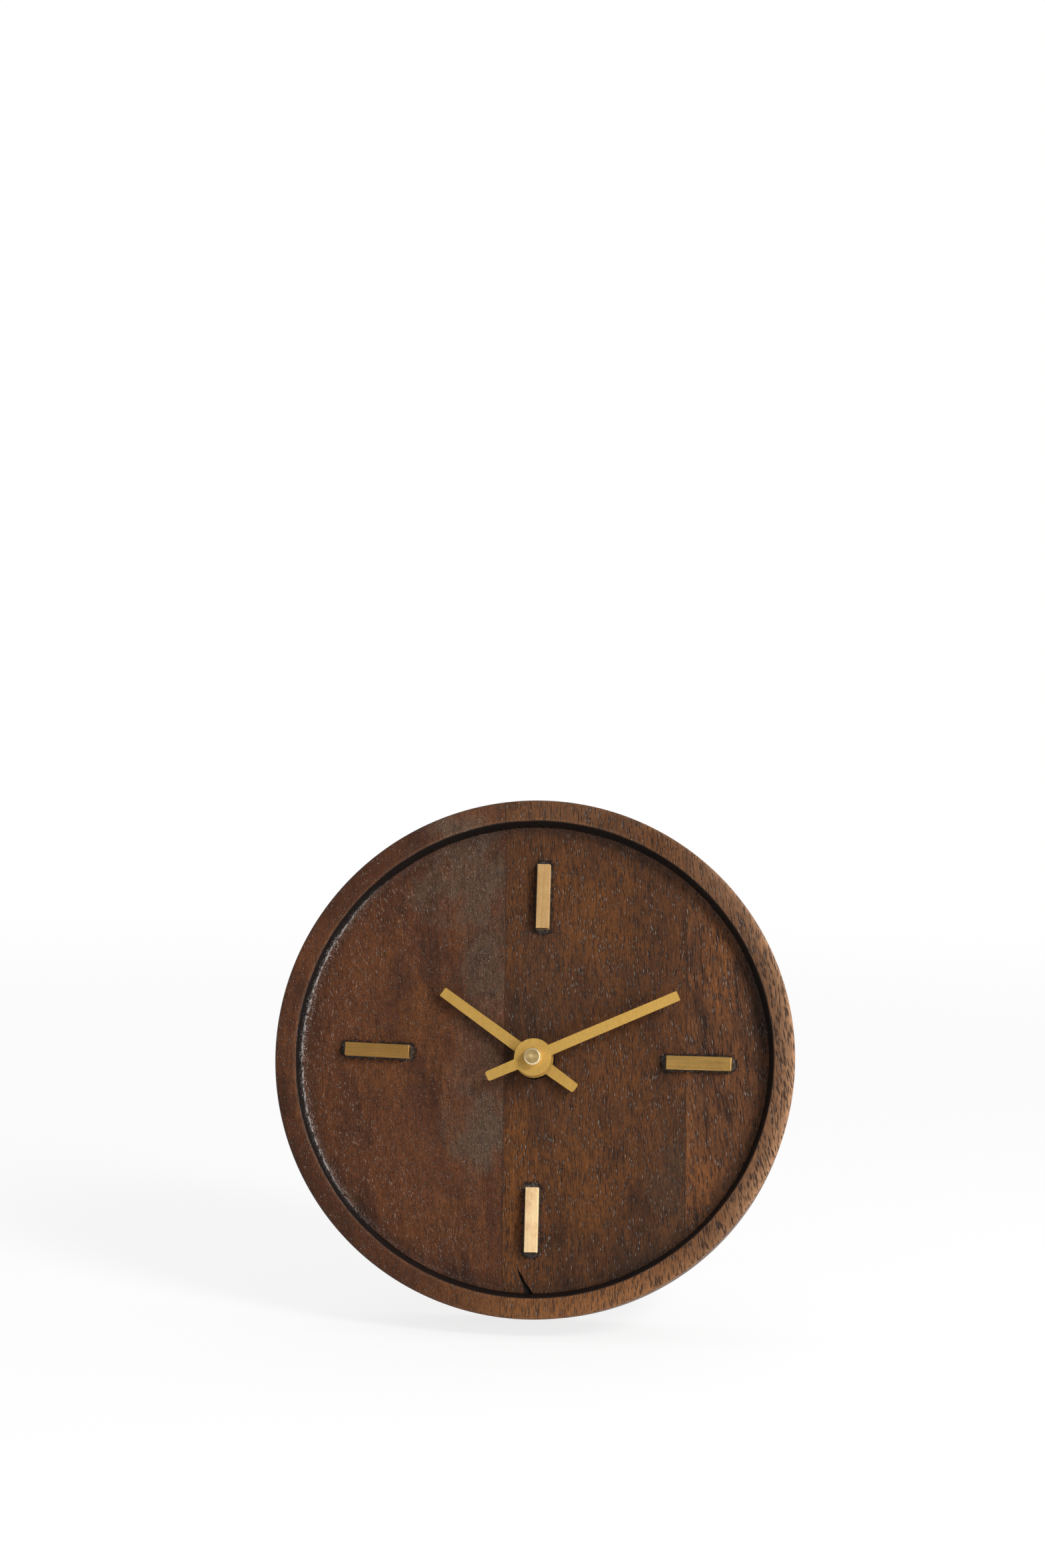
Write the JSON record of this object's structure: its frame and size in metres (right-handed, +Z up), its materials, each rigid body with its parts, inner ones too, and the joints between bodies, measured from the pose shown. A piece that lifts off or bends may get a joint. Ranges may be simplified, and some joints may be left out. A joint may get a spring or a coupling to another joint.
{
  "type": "desk clock",
  "caption": "Round wooden table clock with a recessed dial, brass bar markers and brass hands, a quartz movement in a rear pocket and a fold-out leg that leans it back",
  "frame": {"origin": "centre of the bounding box footprint, on the surface that the clock stands on", "axes": "+Z up, the dial faces -Y and leans back, +X towards 3 o'clock"},
  "size_m": [0.16, 0.0848, 0.1617],
  "materials": {
    "left_board_wood": "dark stained, open pores, satin oil",
    "middle_board_wood": "dark stained, open pores, satin oil",
    "right_board_wood": "dark stained, open pores, satin oil",
    "bar_brass": "brushed lengthwise",
    "hand_brass": "finely brushed",
    "turned_brass": "turned",
    "plate_brass": "satin plate",
    "dark_filler": "rough resin and stain",
    "black_rubber": "matt",
    "black_case": "fine moulded texture",
    "white_plastic": "moulded",
    "motor_steel": "stamped",
    "spring_steel": "nickel plated",
    "copper_wire": "enamelled wire",
    "board_laminate": "laminate",
    "chip_resin": "cast resin",
    "battery_sleeve": "plain printed sleeve"
  },
  "bodies": {
    "case": {"body_left_board": "left_board_wood", "body_middle_board": "middle_board_wood", "body_right_board": "right_board_wood", "marker_12": "bar_brass", "marker_3": "bar_brass", "marker_6": "bar_brass", "marker_9": "bar_brass", "slot_filler": "dark_filler", "threaded_bush": "turned_brass", "washer": "turned_brass", "hex_nut": "turned_brass", "rubber_gasket": "black_rubber", "movement_case": "black_case", "rear_cover": "black_case", "middle_plate": "white_plastic", "stator": "motor_steel", "coil_core": "motor_steel", "coil_bobbin": "white_plastic", "coil_winding": "copper_wire", "circuit_board": "board_laminate", "timing_chip": "chip_resin", "quartz_crystal": "spring_steel", "positive_contact": "spring_steel", "negative_contact": "spring_steel", "battery": "battery_sleeve", "stand_bracket": "plate_brass", "hinge_pin": "turned_brass", "bracket_screws": "turned_brass"},
    "minute_works": {"minute_hand": "hand_brass", "cap_nut": "turned_brass", "minute_arbor": "turned_brass"},
    "hour_works": {"hour_hand": "hand_brass", "hour_wheel": "white_plastic"},
    "motion_works": {"motion_wheel": "white_plastic", "setting_knob": "black_case"},
    "seconds_train": {"seconds_wheel": "white_plastic"},
    "third_train": {"third_wheel": "white_plastic"},
    "centre_train": {"centre_wheel": "turned_brass"},
    "intermediate_train": {"intermediate_wheel": "white_plastic"},
    "rotor_train": {"rotor": "motor_steel"},
    "leg": {"stand_leg": "plate_brass", "leg_foot": "black_rubber"}
  },
  "joints": [
    {"name": "minute_turn", "type": "hinge", "parent": "case", "child": "minute_works", "pos_m": [0, -0.02328, 0.08427], "axis": [0, 0.9703, -0.2419], "continuous": true},
    {"name": "hour_turn", "type": "hinge", "parent": "case", "child": "hour_works", "pos_m": [0, -0.02328, 0.08427], "axis": [0, 0.9703, -0.2419], "continuous": true},
    {"name": "motion_turn", "type": "hinge", "parent": "case", "child": "motion_works", "pos_m": [0.01195, -0.02353, 0.08325], "axis": [0, 0.9703, -0.2419], "continuous": true},
    {"name": "seconds_turn", "type": "hinge", "parent": "case", "child": "seconds_train", "pos_m": [0.0003, -0.01888, 0.10192], "axis": [0, 0.9703, -0.2419], "continuous": true},
    {"name": "third_turn", "type": "hinge", "parent": "case", "child": "third_train", "pos_m": [0.0054, -0.02101, 0.09334], "axis": [0, 0.9703, -0.2419], "continuous": true},
    {"name": "centre_turn", "type": "hinge", "parent": "case", "child": "centre_train", "pos_m": [0, -0.02328, 0.08427], "axis": [0, 0.9703, -0.2419], "continuous": true},
    {"name": "intermediate_turn", "type": "hinge", "parent": "case", "child": "intermediate_train", "pos_m": [-0.00856, -0.01926, 0.1004], "axis": [0, 0.9703, -0.2419], "continuous": true},
    {"name": "rotor_turn", "type": "hinge", "parent": "case", "child": "rotor_train", "pos_m": [-0.01096, -0.02085, 0.09402], "axis": [0, 0.9703, -0.2419], "continuous": true},
    {"name": "leg_fold", "type": "hinge", "parent": "case", "child": "leg", "pos_m": [0, 0.01939, 0.11073], "axis": [-1, 0, 0], "range_deg": [0, 24]}
  ],
  "couplings": [
    {"joint": "hour_turn", "follows": "minute_turn", "ratio": 0.083333},
    {"joint": "motion_turn", "follows": "minute_turn", "ratio": -0.33333},
    {"joint": "third_turn", "follows": "seconds_turn", "ratio": -0.13333},
    {"joint": "centre_turn", "follows": "seconds_turn", "ratio": 0.016667},
    {"joint": "intermediate_turn", "follows": "seconds_turn", "ratio": -5},
    {"joint": "rotor_turn", "follows": "seconds_turn", "ratio": 30}
  ]
}
